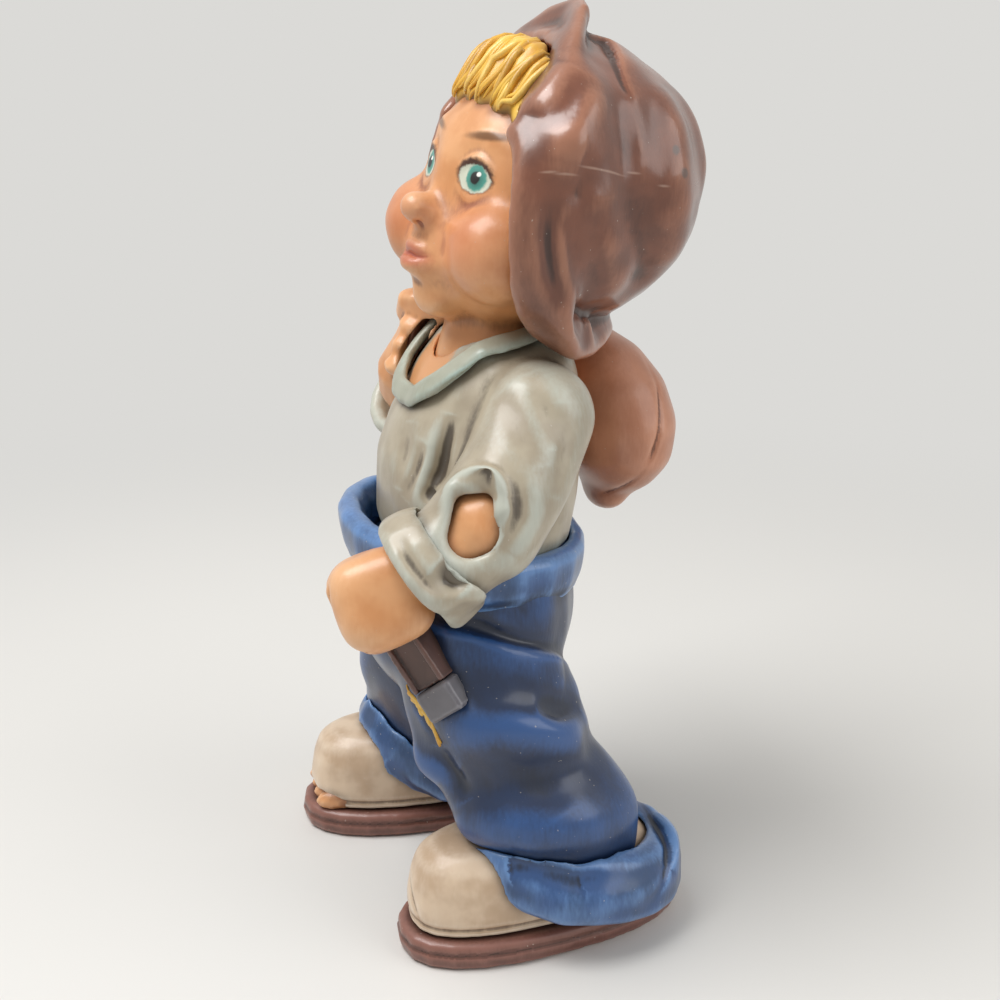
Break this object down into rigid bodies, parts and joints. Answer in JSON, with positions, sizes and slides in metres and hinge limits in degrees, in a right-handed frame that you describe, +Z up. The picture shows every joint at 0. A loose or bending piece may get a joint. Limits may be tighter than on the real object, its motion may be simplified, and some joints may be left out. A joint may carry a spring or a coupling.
{
  "type": "ceramic hobo figurine",
  "caption": "Hand-painted hollow ceramic figurine of a striding boy in a floppy hat, patched shirt and baggy trousers, with a sack on his back",
  "frame": {"origin": "centre of the overall bounding box in plan, on the plane of the undersides of both soles", "axes": "+Z up; the boy faces -Y and his left hand is on the +X side"},
  "size_m": [0.149, 0.1388, 0.3054],
  "materials": {
    "skin_paint": "satin painted and sealed",
    "hat_paint": "satin painted and sealed",
    "hair_paint": "satin painted and sealed",
    "shirt_paint": "satin painted and sealed",
    "trouser_paint": "satin painted and sealed",
    "shoe_paint": "satin painted and sealed",
    "sole_paint": "satin painted and sealed",
    "sack_paint": "satin painted and sealed",
    "clip_paint": "satin painted and sealed"
  },
  "bodies": {
    "root": {"head": "skin_paint", "left_arm": "skin_paint", "right_arm": "skin_paint", "right_toes": "skin_paint", "hat_crown": "hat_paint", "hat_brim": "hat_paint", "hair_forelock": "hair_paint", "shirt": "shirt_paint", "collar": "shirt_paint", "left_sleeve": "shirt_paint", "left_sleeve_cuff": "shirt_paint", "right_sleeve": "shirt_paint", "right_sleeve_cuff": "shirt_paint", "trousers": "trouser_paint", "waistband": "trouser_paint", "left_trouser_cuff": "trouser_paint", "right_trouser_cuff": "trouser_paint", "left_shoe": "shoe_paint", "right_shoe": "shoe_paint", "left_sole": "sole_paint", "right_sole": "sole_paint", "strap": "sole_paint", "sack": "sack_paint", "sack_neck": "sack_paint", "strap_clip": "clip_paint"}
  },
  "joints": []
}
